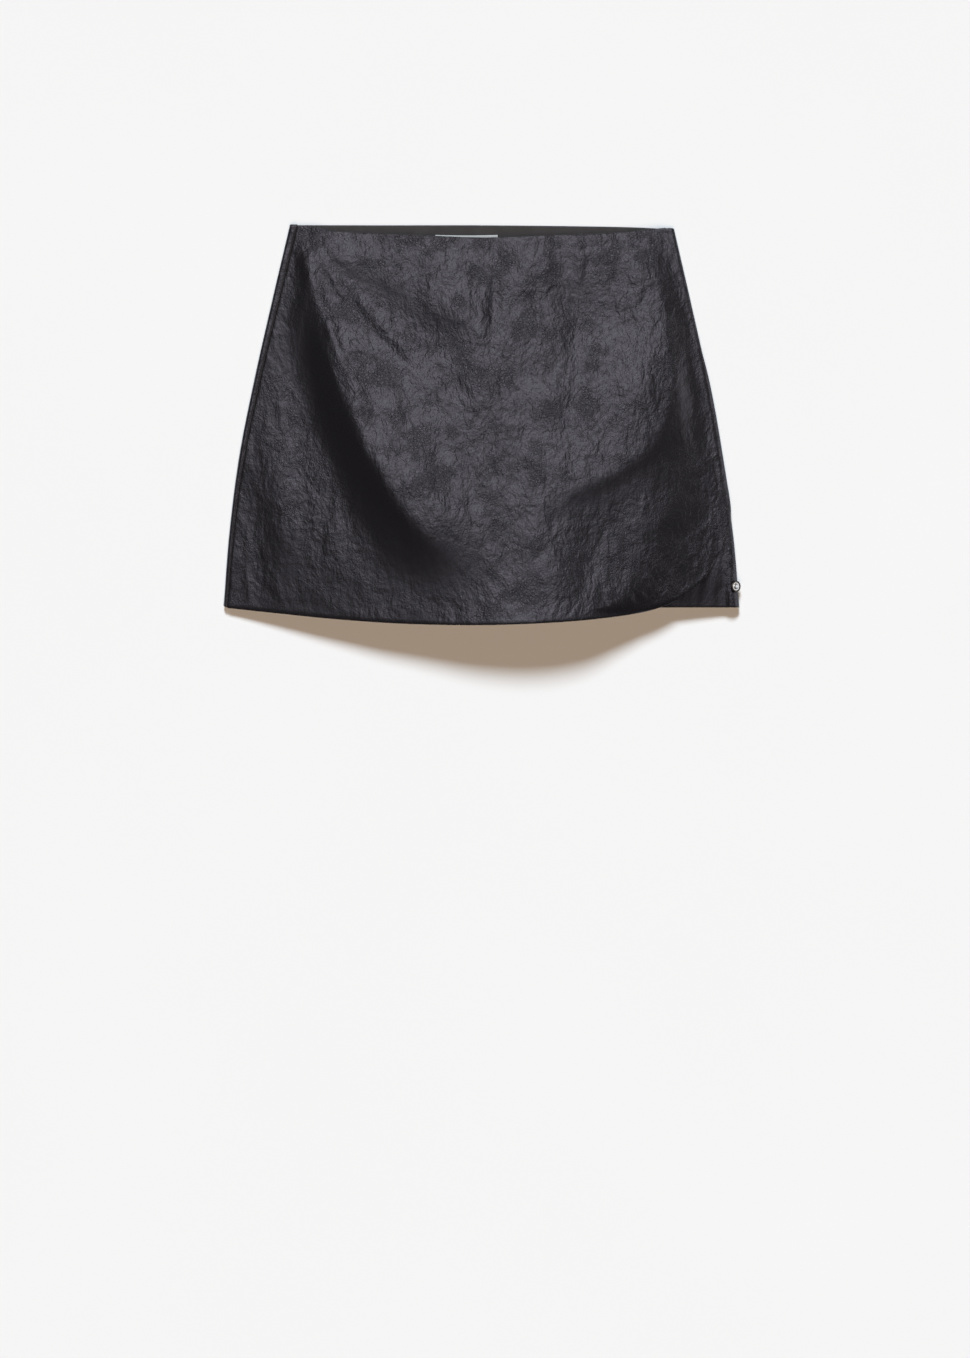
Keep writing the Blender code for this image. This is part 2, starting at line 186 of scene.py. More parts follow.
def lay(name, face, wall=WALL, thick=None, wear_and_sheen=1.0):
    """A panel of cloth on rows of points on its outer face. thick gives each point's own wall, and the
    last argument says how pale its edges are painted:
    partly rubbed wear, partly a painted highlight along the turned edges. The marks "edge" and "slack"
    steer the leather."""
    down, across = face.shape[0] - 1, face.shape[1] - 1
    shape = bmesh.new()
    bmesh.ops.create_grid(shape, x_segments=across, y_segments=down, size=1)
    mesh = bpy.data.meshes.new(name)
    shape.to_mesh(mesh)
    shape.free()
    flat = np.empty(len(mesh.vertices) * 3)
    mesh.vertices.foreach_get("co", flat)
    flat = flat.reshape(-1, 3)
    column = np.rint((flat[:, 0] + 1) / 2 * across).astype(int)
    row = np.rint((1 - flat[:, 1]) / 2 * down).astype(int)
    mesh.vertices.foreach_set("co", face[row, column].ravel())
    step_x = np.linalg.norm(np.diff(face, axis=1), axis=2)
    step_y = np.linalg.norm(np.diff(face, axis=0), axis=2)
    run_x = np.concatenate([np.zeros((down + 1, 1)), np.cumsum(step_x, axis=1)], axis=1)
    run_y = np.concatenate([np.zeros((1, across + 1)), np.cumsum(step_y, axis=0)], axis=0)
    inward = np.minimum.reduce([run_x, run_x[:, -1:] - run_x, run_y, run_y[-1:] - run_y])
    tilt = -np.gradient(face[..., 2], axis=0) / np.gradient(face[..., 1], axis=0)
    slack = smooth((tilt - TAUT_TILT) / (SLACK_TILT - TAUT_TILT))
    for _ in range(SLACK_BLURS):
        slack[1:-1] = (slack[:-2] + 2 * slack[1:-1] + slack[2:]) / 4
        slack[:, 1:-1] = (slack[:, :-2] + 2 * slack[:, 1:-1] + slack[:, 2:]) / 4
    for label, values in (("edge", np.exp(-inward / EDGE_FADE) * wear_and_sheen), ("slack", slack)):
        marks = mesh.attributes.new(label, "FLOAT", "POINT")
        marks.data.foreach_set("value", values[row, column])
    panel = bpy.data.objects.new(name, mesh)
    bpy.context.scene.collection.objects.link(panel)
    thicken = panel.modifiers.new("wall", "SOLIDIFY")
    thicken.offset = -1
    thicken.use_even_offset = True
    thicken.thickness = wall
    if thick is not None:
        group = panel.vertex_groups.new(name="wall")
        thicken.thickness = float(thick.max())
        share = (thick / thick.max())[row, column]
        for index, weight in enumerate(share):
            group.add([index], float(weight), "REPLACE")
        thicken.vertex_group = group.name
    soften = panel.modifiers.new("turned edge", "BEVEL")
    soften.width = BEVEL
    soften.segments = 2
    soften.limit_method = "ANGLE"
    soften.angle_limit = SHARP
    soften.use_clamp_overlap = True
    mesh.shade_smooth()
    return panel


class Wire:
    """A shader socket that can be written in sums."""

    def __init__(self, tree, socket):
        self.tree = tree
        self.socket = socket

    def maths(self, operation, *terms):
        made = self.tree.nodes.new("ShaderNodeMath")
        made.operation = operation
        for slot, term in zip(made.inputs, terms):
            if isinstance(term, Wire):
                self.tree.links.new(term.socket, slot)
            else:
                slot.default_value = term
        return Wire(self.tree, made.outputs[0])

    def __add__(self, other):
        return self.maths("ADD", self, other)

    def __sub__(self, other):
        return self.maths("SUBTRACT", self, other)

    def __rsub__(self, other):
        return self.maths("SUBTRACT", other, self)

    def __mul__(self, other):
        return self.maths("MULTIPLY", self, other)

    def __pow__(self, other):
        return self.maths("POWER", self, other)

    __radd__ = __add__
    __rmul__ = __mul__


class Finish:
    """A material, and the nodes that vary it over the surface."""

    def __init__(self, name, **constants):
        self.material = bpy.data.materials.new(name)
        self.material.use_nodes = True
        self.tree = self.material.node_tree
        self.shader = self.tree.nodes["Principled BSDF"]
        self.place = self.node("ShaderNodeTexCoord", output="Object")
        for key, value in constants.items():
            self.shader.inputs[key.replace("_", " ")].default_value = value

    def node(self, kind, settings=(), inputs=(), output=0):
        made = self.tree.nodes.new(kind)
        for key, value in dict(settings).items():
            setattr(made, key, value)
        for key, value in dict(inputs).items():
            self.feed(made.inputs[key], value)
        return Wire(self.tree, made.outputs[output])

    def feed(self, slot, value):
        if isinstance(value, Wire):
            self.tree.links.new(value.socket, slot)
        else:
            slot.default_value = value

    def noise(self, size, detail=2.0, roughness=0.5, at=None, output=0):
        """Soft noise with blotches about that size, in metres."""
        inputs = {"Vector": at or self.place, "Scale": 1 / size, "Detail": detail, "Roughness": roughness}
        return self.node("ShaderNodeTexNoise", (), inputs, output)

    def cells(self, size, feature, at=None):
        inputs = {"Vector": at or self.place, "Scale": 1 / size}
        return self.node("ShaderNodeTexVoronoi", {"feature": feature}, inputs)

    def ramp(self, value, low, high):
        """0 below low and 1 above high, easing between them."""
        settings = {"interpolation_type": "SMOOTHSTEP"}
        return self.node("ShaderNodeMapRange", settings, {0: value, 1: low, 2: high, 3: 0.0, 4: 1.0})

    def streaks(self, at, turn, width, length, detail=3.0):
        """Noise drawn out along one way in the plane of the cloth."""
        inputs = {"Vector": at, "Rotation": (0, 0, math.radians(turn)), "Scale": (1, length / width, 1)}
        drawn = self.node("ShaderNodeMapping", {"vector_type": "TEXTURE"}, inputs)
        return self.noise(width, detail, 0.6, drawn)

    def mix(self, share, first, second):
        first, second = (c if isinstance(c, Wire) else (*c, 1) for c in (first, second))
        return self.node("ShaderNodeMix", {"data_type": "RGBA"}, {0: share, 6: first, 7: second}, 2)

    def warped(self, size, reach):
        """The place, pushed about by noise."""
        push = self.node(
            "ShaderNodeVectorMath",
            {"operation": "SUBTRACT"},
            {0: self.noise(size, 3.0, output=1), 1: (0.5, 0.5, 0.5)},
        )
        push = self.node("ShaderNodeVectorMath", {"operation": "SCALE"}, {0: push, "Scale": reach})
        return self.node("ShaderNodeVectorMath", {"operation": "ADD"}, {0: self.place, 1: push})

    def relief(self, height):
        """Raises the surface by a height in millimetres."""
        bump = self.node("ShaderNodeBump", (), {"Strength": 1.0, "Distance": 0.001, "Height": height})
        self.feed(self.shader.inputs["Normal"], bump)


def leathercloth():
    """Where the cloth lies slack, fine creping runs another way in each patch, with crumpled and
    cracked places, and soft dents between. Where it is pulled taut it is smooth."""
    skin = Finish("leathercloth", Specular_IOR_Level=0.56, Specular_Tint=SKIN_TINT)
    edge = skin.node("ShaderNodeAttribute", {"attribute_name": "edge"}, (), 2)
    slack = skin.node("ShaderNodeAttribute", {"attribute_name": "slack"}, (), 2)
    crumpled = skin.ramp(skin.noise(PATCH, 3.0, 0.6), 0.46, 0.62) * slack
    bent = skin.warped(0.012, 0.008)
    heading = skin.noise(PATCH, 2.0, 0.5, bent)
    creping = skin.streaks(bent, CREPE_TURN, CREPE_WIDTH, CREPE_LENGTH)
    for low, turn in CREPE_TURNS:
        share = skin.ramp(heading, low, low + 0.04)
        creping = creping * (1 - share) + skin.streaks(bent, turn, CREPE_WIDTH, CREPE_LENGTH) * share
    lines = skin.cells(CRACK, "DISTANCE_TO_EDGE", skin.warped(0.0035, 0.0035))
    cracks = 1 - skin.ramp(lines, 0.0, 0.26)
    pebbles = skin.cells(PEBBLE, "F1")
    dents = skin.streaks(skin.warped(0.05, 0.02), 0, DENT_WIDTH, DENT_LENGTH, 5.0) - 0.5
    height = dents * (slack * 3.4 + 1.2) + creping * (crumpled * 0.36 + slack * 0.13 + 0.01)
    height = height - cracks * crumpled * 0.11 - pebbles * (slack * 0.005 + 0.001)
    skin.relief(height)
    # the crack lines are painted darker: painted shade in the recesses of the cracks
    tone = skin.mix(cracks * 0.5, SKIN, tuple(c * CRACK_PAINTED_SHADE for c in SKIN))
    # the edges are painted paler: part rubbed wear, part painted highlight on the turned edges
    skin.feed(skin.shader.inputs["Base Color"], skin.mix(edge * 0.75, tone, SKIN_WEAR_AND_SHEEN))
    rough = 0.27 - crumpled * 0.03 + cracks * (crumpled * 0.14 + slack * 0.03) + edge * 0.08
    skin.feed(skin.shader.inputs["Roughness"], rough)
    return skin.material


leather = leathercloth()


def back(name, side):
    across = np.linspace(0, 1, BACK_COLUMNS + 1)[None]
    reach = left_edge(WAIST_Y) + LEFT_ROLL_REACH if side < 0 else roll_start(WAIST_Y)
    y = rows_between(height_of(BACK_WAIST, across * reach), BACK_ROWS)
    side_x = left_edge(y) + LEFT_ROLL_REACH if side < 0 else roll_start(y) - SEAM_GAP
    x = place_columns(side_x, y, across)
    face = np.stack([x, y, np.zeros_like(x)], axis=-1)
    if side > 0:
        return lay(name, face[:, ::-1])
    turn = np.linspace(math.pi, 0, TURN_STEPS + 1)[None, 1:]
    y = rows_between(height_of(BACK_WAIST, left_edge(WAIST_Y) + 0 * turn), BACK_ROWS)
    half = (read(HEIGHTS, 1, y) - LEFT_STEP) / 2
    x = left_edge(y) + LEFT_ROLL_REACH * (1 - np.sin(turn))
    rolled = np.stack([x, y, half * (1 + np.cos(turn))], axis=-1)
    share = np.linspace(0, 1, STRIP_STEPS + 1)[None, 1:]
    start = rolled[:, -1:]
    end_x = left_seam(start[..., 1]) - SEAM_GAP / 2
    strip_x = start[..., 0] + (end_x - start[..., 0]) * share
    strip_z = start[..., 2] + seam_round(end_x - strip_x)
    strip_y = start[..., 1] + 0 * strip_x
    strip = np.stack([strip_x, strip_y, strip_z], axis=-1)
    face = np.concatenate([face, rolled, strip], axis=1)
    in_from_edge = np.maximum(face[..., 0] - left_edge(face[..., 1]), 0)
    up_from_hem = face[..., 1] - LEG_HEM_Y
    rounding = np.exp(-in_from_edge / (CORNER_ROUND / 3)) * np.exp(-up_from_hem / CORNER_ROUND)
    face[..., 1] += CORNER_ROUND * 0.5 * rounding
    return lay(name, face)


for name, side, area in (("back_left", -1, 0.0875), ("back_right", 1, 0.0812)):
    panel = back(name + "_cloth", side)
    panel.data.materials.append(leather)
    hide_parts(name)
    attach(panel, "root")

# ---------------------------------------------------------------------------------------------
# The legs' fronts: the same cloth, seamed down the middle to the crotch. The right one shows at the
# rounded corner, and rolls over the right side to the seam underneath.

LEG_FALL_POWER = 2.5
RISE_ABOVE_CROTCH = 0.110
LAYER_GAP = 0.0005
HEM_WALL = 0.0020
HEM_DEPTH = 0.025
THICKER_FROM = -0.040  # down the wrap, room is left for its thicker hem
THICKER_BY = -0.122
SPREAD = 0.0032
FREE_MARGIN = 0.060
FREE_DEPTH = 0.070
CROWN_POWER = 1.2
STUD_Y = -0.1568
STUD_FLAT = 0.014  # the roll is pressed flatter along this much of it, under the stud
STUD_FLATTENING = 0.55
CORNER_SHARE = 0.85  # of the wrap's hem, from where it counts as the corner
ROLL_MARGIN = 0.006
ROLL_STEPS = 29
LEG_ROWS = 150
FRONT_WAIST = (
    (-0.179, 0.1940),
    (-0.160, 0.1927),
    (-0.140, 0.1882),
    (-0.075, 0.1850),
    (0.000, 0.1817),
    (0.070, 0.1842),
    (0.130, 0.1868),
    (0.179, 0.1919),
)
WRAP_HEM = (  # from the left seam to the middle of the rounded corner
    (-0.2468, -0.1778),
    (-0.1960, -0.1834),
    (-0.1376, -0.1893),
    (-0.0700, -0.1938),
    (0.0036, -0.1951),
    (0.0700, -0.1927),
    (0.1220, -0.1878),
    (0.1640, -0.1805),
    (0.1930, -0.1686),
    (0.2170, -0.1495),
)
WRAP_FREE_EDGE = (  # from the waist to the middle of the corner, measured over the rolled side
    (0.1789, 0.1919),
    (0.1898, 0.1597),
    (0.2010, 0.1200),
    (0.2110, 0.0830),
    (0.2215, 0.0470),
    (0.2290, 0.0150),
    (0.2350, -0.0200),
    (0.2400, -0.0530),
    (0.2432, -0.0800),
    (0.2385, -0.1050),
    (0.2300, -0.1270),
    (0.2170, -0.1495),
)
FORM_MARGIN = 0.07
FORM_DEPTH = 0.035
# how pale the legs' edges are painted: rubbed wear and painted highlight
LEG_WEAR_AND_SHEEN = 0.3
FORMS = (  # start, middle, end, half width, height: broad swells that all the layers follow
    ((-0.172, 0.105), (-0.166, -0.010), (-0.100, -0.165), 0.030, -0.0018),
    ((-0.165, 0.180), (-0.110, 0.000), (-0.022, -0.122), 0.040, 0.0088),
    ((0.150, 0.160), (0.158, 0.000), (0.052, -0.074), 0.048, 0.0092),
)
LEG_CREASES = (  # start, middle, end, half width, height
    ((0.120, -0.186), (0.190, -0.186), (0.262, -0.184), 0.0340, -0.0036),
    ((0.208, -0.172), (0.214, -0.150), (0.226, -0.128), 0.0034, 0.0003),
    ((0.214, -0.174), (0.220, -0.148), (0.232, -0.124), 0.0026, -0.0003),
    ((0.224, -0.176), (0.229, -0.145), (0.237, -0.108), 0.0026, 0.0003),
    ((0.233, -0.150), (0.236, -0.125), (0.240, -0.100), 0.0018, -0.0002),
    ((0.226, -0.166), (0.232, -0.160), (0.240, -0.157), 0.0024, -0.0003),
)


def wrap_drop(y):
    hem = smooth((THICKER_FROM - y) / (THICKER_FROM - THICKER_BY))
    return LAYER_GAP + WALL + (HEM_WALL - WALL) * hem


def free_edge_x(y):
    edge = along(WRAP_FREE_EDGE, np.linspace(0, 1, 300))
    corner = along(WRAP_HEM, np.linspace(1, CORNER_SHARE, 120))
    both = np.vstack([edge, corner])[::-1]
    return np.interp(y, both[:, 1], both[:, 0])


def freedom(x, y):
    inward = np.minimum(x - left_seam(y), free_edge_x(y) - x)
    return smooth(inward / FREE_MARGIN) * smooth((WAIST_Y - y) / FREE_DEPTH)


def crown(x, y):
    across = np.clip((x - left_seam(y)) / (roll_start(y) - left_seam(y)), 0, 1)
    left = read(HEIGHTS, 1, y)
    right = read(HEIGHTS, 2, y) + wrap_drop(y)
    rise = read(HEIGHTS, 4, y) * np.sin(math.pi * across) ** CROWN_POWER
    settled = smooth(across / FORM_MARGIN) * smooth((1 - across) / FORM_MARGIN)
    settled = settled * smooth((WAIST_Y - y) / FORM_DEPTH)
    return left + (right - left) * smooth(across) + rise + creases(FORMS, x, y) * settled


def creases(table, x, y):
    """Each crease runs along a bent path and fades out at both ends."""
    relief = np.zeros_like(x)
    for start, middle, end, width, height in table:
        start, middle, end = (np.array(p) for p in (start, middle, end))
        bend = 2 * middle - (start + end) / 2
        steps = int(np.clip(np.linalg.norm(end - start) / width * 12, 24, 160))
        t = np.linspace(0, 1, steps)
        path = np.outer((1 - t) ** 2, start) + np.outer(2 * t * (1 - t), bend) + np.outer(t**2, end)
        low, high = path.min(0) - 3 * width, path.max(0) + 3 * width
        near = (x > low[0]) & (x < high[0]) & (y > low[1]) & (y < high[1])
        squared = (x[near][:, None] - path[:, 0]) ** 2 + (y[near][:, None] - path[:, 1]) ** 2
        fade = np.sqrt(np.sin(math.pi * t))
        relief[near] += height * (fade * np.exp(-squared / width**2)).max(axis=-1)
    return relief


def leg_top(x, y):
    under_wrap = crown(x, y) - wrap_drop(y) - SPREAD * freedom(x, y)
    side = np.where(x < 0, left_seam(y), roll_start(y))
    inward = np.clip(1 - x / side, 0, 1)
    joined = smooth((y - CROTCH_Y) / RISE_ABOVE_CROTCH)
    fall = (1 - joined) * inward**LEG_FALL_POWER
    on_back = 2 * WALL + SEAM_GAP
    return under_wrap + (on_back - under_wrap) * fall


def around_roll(y, turn, layer):
    flattened = 2 - STUD_FLATTENING * np.exp(-(((y - STUD_Y) / STUD_FLAT) ** 2))
    half = read(HEIGHTS, 2, y) / 2
    quarter = np.where(turn < math.pi / 2, 2 / flattened, 1.0)
    x = roll_start(y) + (roll_reach(y) + layer) * np.abs(np.sin(turn)) ** quarter
    z = half + (half + layer) * np.sign(np.cos(turn)) * np.abs(np.cos(turn)) ** quarter
    return x, z


def front_waist_y(x):
    return height_of(FRONT_WAIST + BACK_WAIST[-1:], x) - SEAM_GAP


def shorts_front(name, side, columns):
    across = np.linspace(0, 1, columns + 1)[None]
    reach = left_seam(WAIST_Y) if side < 0 else roll_start(WAIST_Y)
    y = rows_between(front_waist_y(across * reach), LEG_ROWS)
    side_x = left_seam(y) + SEAM_GAP / 2 if side < 0 else roll_start(y)
    x = place_columns(side_x, y, across)
    z = leg_top(x, y) + creases(LEG_CREASES, x, y) * smooth((side_x - x) / ROLL_MARGIN)
    face = np.stack([x, y, z], axis=-1)
    if side < 0:
        return lay(name, face[:, ::-1], wear_and_sheen=LEG_WEAR_AND_SHEEN)
    turn = np.linspace(0, math.pi, ROLL_STEPS + 1)[None, 1:]
    y = rows_between(front_waist_y(reach + np.sin(turn) * roll_reach(WAIST_Y)), LEG_ROWS)
    x, z = around_roll(y, turn, 0)
    return lay(name, np.concatenate([face, np.stack([x, y, z], axis=-1)], axis=1), wear_and_sheen=LEG_WEAR_AND_SHEEN)


LEGS = (  # node, side, columns, area that shows laid flat
    ("shorts_front_left", -1, 80, 0.0805),
    ("shorts_front_right", 1, 110, 0.0857),
)
for name, side, columns, area in LEGS:
    panel = shorts_front(name + "_cloth", side, columns)
    panel.data.materials.append(leather)
    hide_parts(name)
    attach(panel, "root")

# ---------------------------------------------------------------------------------------------
# The facing inside the back waist: a matte charcoal cloth, turned under along its top edge. The
# blank woven label is sewn flat on it.

FACING_DEPTH = 0.045
FACING_WALL = 0.0010
FACING_INSET = 0.0008
FACING_END = 0.0055
LABEL_WIDTH = 0.0604
LABEL_DEPTH = 0.020
LABEL_CENTRE_X = -0.0144
LABEL_TOP_Y = 0.1853
LABEL_SAG = 0.0005
LABEL_WALL = 0.0007
LABEL_CURL = 0.0006  # its two ends lift
LABEL_CURL_FROM = 0.94
THREADS = (420.0, 520.0)  # warp and weft
RIPPLE = 0.00012
RIPPLE_WAVES = (410, 173, 300)
FACING_TONE = (0.043, 0.040, 0.0405)
LABEL_TONE = (0.56, 0.55, 0.53)


def facing_cloth():
    cloth = Finish("facing cloth", Specular_IOR_Level=0.3, Roughness=0.85)
    weave = cloth.noise(0.0009, 3.0, 0.6)
    slub = cloth.noise(0.012, 2.0)
    cloth.relief(weave * 0.20 + slub * 0.10)
    tone = cloth.mix(slub, tuple(c * 0.8 for c in FACING_TONE), tuple(c * 1.25 for c in FACING_TONE))
    cloth.feed(cloth.shader.inputs["Base Color"], tone)
    return cloth.material


def label_cloth():
    satin = Finish("woven label", Specular_IOR_Level=0.4, Roughness=0.7)
    warp, weft = (
        satin.node(
            "ShaderNodeTexWave",
            {"wave_type": "BANDS", "bands_direction": way},
            {"Vector": satin.place, "Scale": count, "Distortion": 0.6},
        )
        for way, count in zip("XY", THREADS)
    )
    satin.relief(warp * 0.06 + weft * 0.06)
    tone = satin.mix(warp * 0.35, LABEL_TONE, tuple(c * 0.86 for c in LABEL_TONE))
    satin.feed(satin.shader.inputs["Base Color"], tone)
    return satin.material


reach = np.linspace(left_edge(WAIST_Y) + FACING_END, roll_start(WAIST_Y) - FACING_END / 2, 181)[None]
top = height_of(BACK_WAIST, reach) - FACING_INSET
y = top - np.linspace(0, FACING_DEPTH, 25)[:, None]
x = reach + 0 * y
ripple = RIPPLE * np.sin(x * RIPPLE_WAVES[0]) * np.sin(x * RIPPLE_WAVES[1] + y * RIPPLE_WAVES[2])
face = np.stack([x, y, WALL + SEAM_GAP + FACING_WALL + ripple], axis=-1)
facing = lay("back_facing_cloth", face, wall=FACING_WALL)
facing.data.materials.append(facing_cloth())
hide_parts("back_facing")
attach(facing, "root")

half = np.linspace(-1, 1, 61)[None]
x = LABEL_CENTRE_X + half * LABEL_WIDTH / 2
y = LABEL_TOP_Y - LABEL_SAG * (1 - half**2) - np.linspace(0, LABEL_DEPTH, 21)[:, None]
curl = LABEL_CURL * smooth((np.abs(half) - LABEL_CURL_FROM) / (1 - LABEL_CURL_FROM))
face = np.stack([x + 0 * y, y, WALL + 2 * SEAM_GAP + 2 * FACING_WALL + curl + 0 * y], axis=-1)
tag = lay("label_cloth", face, wall=LABEL_WALL)
tag.data.materials.append(label_cloth())
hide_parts("label")
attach(tag, "root")

# ---------------------------------------------------------------------------------------------
# The wrap front: one panel of the cloth, sewn in at the left side seam and along the waist and free
# down its right edge, with a big rounded corner. Its hem is turned up once, and prints through.

FOLDS = (  # start, middle, end, half width, height
    ((-0.169, 0.160), (-0.123, 0.000), (-0.038, -0.128), 0.013, 0.0030),
    ((-0.181, 0.140), (-0.155, -0.008), (-0.077, -0.152), 0.023, -0.0022),
    ((-0.166, 0.186), (-0.100, 0.142), (0.000, 0.095), 0.016, 0.0022),
    ((-0.166, 0.172), (-0.105, 0.110), (0.020, 0.076), 0.024, -0.0026),
    ((-0.160, 0.192), (-0.115, 0.172), (-0.070, 0.170), 0.012, 0.0014),
    ((-0.218, 0.120), (-0.211, 0.000), (-0.188, -0.135), 0.015, 0.0030),
    ((-0.234, -0.020), (-0.230, -0.080), (-0.216, -0.145), 0.013, -0.0020),
    ((-0.024, 0.092), (-0.010, 0.088), (0.004, 0.088), 0.022, 0.0020),
    ((0.046, 0.165), (0.050, 0.125), (0.040, 0.100), 0.018, 0.0010),
    ((0.070, 0.132), (0.110, 0.128), (0.145, 0.136), 0.018, -0.0012),
    ((0.132, 0.046), (0.146, 0.040), (0.158, 0.030), 0.024, 0.0018),
    ((-0.066, -0.045), (-0.036, -0.085), (-0.010, -0.108), 0.020, 0.0014),
    ((0.050, -0.104), (0.066, -0.136), (0.082, -0.168), 0.030, 0.0034),
    ((0.024, -0.228), (0.064, -0.232), (0.104, -0.228), 0.058, 0.0100),
    ((0.190, 0.080), (0.166, -0.016), (0.066, -0.070), 0.013, 0.0016),
    ((0.187, -0.030), (0.166, -0.110), (0.104, -0.210), 0.034, 0.0048),
)
CREASES = (  # the same, held off the seam and the free edge alone
    ((-0.040, -0.222), (0.040, -0.228), (0.120, -0.218), 0.0600, 0.0078),
    ((0.015, -0.148), (0.050, -0.154), (0.090, -0.146), 0.0420, 0.0038),
    ((-0.120, -0.005), (-0.085, -0.090), (-0.025, -0.130), 0.0300, 0.0010),
    ((0.165, -0.018), (0.120, -0.062), (0.075, -0.088), 0.0220, -0.0014),
    ((-0.142, 0.162), (-0.100, 0.134), (-0.040, 0.118), 0.0160, -0.0022),
    ((0.078, 0.108), (0.115, 0.100), (0.152, 0.108), 0.0200, -0.0024),
    ((0.004, 0.124), (0.026, 0.112), (0.046, 0.124), 0.0220, -0.0020),
    ((-0.032, 0.124), (-0.012, 0.120), (0.006, 0.124), 0.0200, 0.0014),
    ((0.028, 0.084), (0.050, 0.080), (0.076, 0.084), 0.0180, 0.0013),
    ((-0.024, 0.036), (-0.004, 0.030), (0.012, 0.036), 0.0160, 0.0011),
    ((0.050, 0.005), (0.076, 0.000), (0.102, 0.006), 0.0180, 0.0010),
    ((-0.098, 0.094), (-0.070, 0.086), (-0.044, 0.076), 0.0140, -0.0010),
    ((-0.046, 0.055), (-0.028, 0.040), (-0.008, 0.022), 0.0080, -0.0010),
    ((0.009, 0.022), (0.009, -0.020), (0.009, -0.062), 0.0050, -0.0006),
    ((0.035, 0.030), (0.058, 0.026), (0.078, 0.030), 0.0140, 0.0010),
    ((0.035, -0.028), (0.058, -0.032), (0.080, -0.028), 0.0140, 0.0010),
    ((-0.170, 0.165), (-0.144, 0.085), (-0.108, 0.010), 0.0050, 0.0014),
    ((-0.160, 0.172), (-0.122, 0.112), (-0.055, 0.040), 0.0055, 0.0012),
    ((-0.179, 0.186), (-0.172, 0.155), (-0.160, 0.110), 0.0060, 0.0009),
    ((-0.160, 0.192), (-0.146, 0.172), (-0.120, 0.140), 0.0060, 0.0009),
    ((0.012, 0.180), (0.014, 0.140), (0.010, 0.100), 0.0050, -0.0010),
    ((0.092, 0.180), (0.095, 0.160), (0.093, 0.138), 0.0060, 0.0010),
    ((0.050, 0.088), (0.075, 0.080), (0.095, 0.088), 0.0160, -0.0009),
    ((-0.120, -0.192), (-0.102, -0.194), (-0.085, -0.194), 0.0120, 0.0007),
    ((-0.032, -0.196), (-0.015, -0.197), (0.000, -0.196), 0.0120, 0.0006),
    ((0.011, 0.125), (0.0105, 0.060), (0.011, 0.000), 0.0016, -0.00035),
    ((0.011, 0.004), (0.0125, -0.060), (0.013, -0.118), 0.0016, -0.00035),
    ((0.011, -0.006), (0.060, -0.008), (0.100, -0.004), 0.0016, -0.0003),
    ((-0.018, 0.014), (-0.004, 0.006), (0.011, -0.003), 0.0016, -0.0004),
    ((0.011, -0.003), (0.022, -0.014), (0.040, -0.018), 0.0015, -0.0003),
    ((0.011, -0.003), (0.000, -0.020), (-0.006, -0.036), 0.0014, -0.0003),
    ((0.011, -0.003), (0.014, 0.012), (0.024, 0.024), 0.0013, 0.0003),
)
HEM_PRINTS = (  # where the turned hem shows through
    ((-0.222, -0.1530), (-0.120, -0.1545), (-0.011, -0.1548), 0.0011, -0.00010),
    ((0.021, -0.1825), (0.054, -0.1830), (0.087, -0.1822), 0.0010, -0.00008),
)
EDGE_PRESS = 0.0007  # the free edge and the hem are pressed down along their last millimetre
EDGE_TURN = 0.0013
SEAM_END = 0.010  # share of the width with close columns, at the seam
ROLL_FROM = 0.955  # and from here on, where the wrap rolls over the side
COLUMNS = (5, 176, 22)
WRAP_ROWS = 152
SEAM_HOLD = 0.010
EDGE_HOLD = 0.012
HEM_FADE = 0.002
# how pale the wrap's edges are painted: rubbed wear and painted highlight
WRAP_WEAR_AND_SHEEN = 0.25


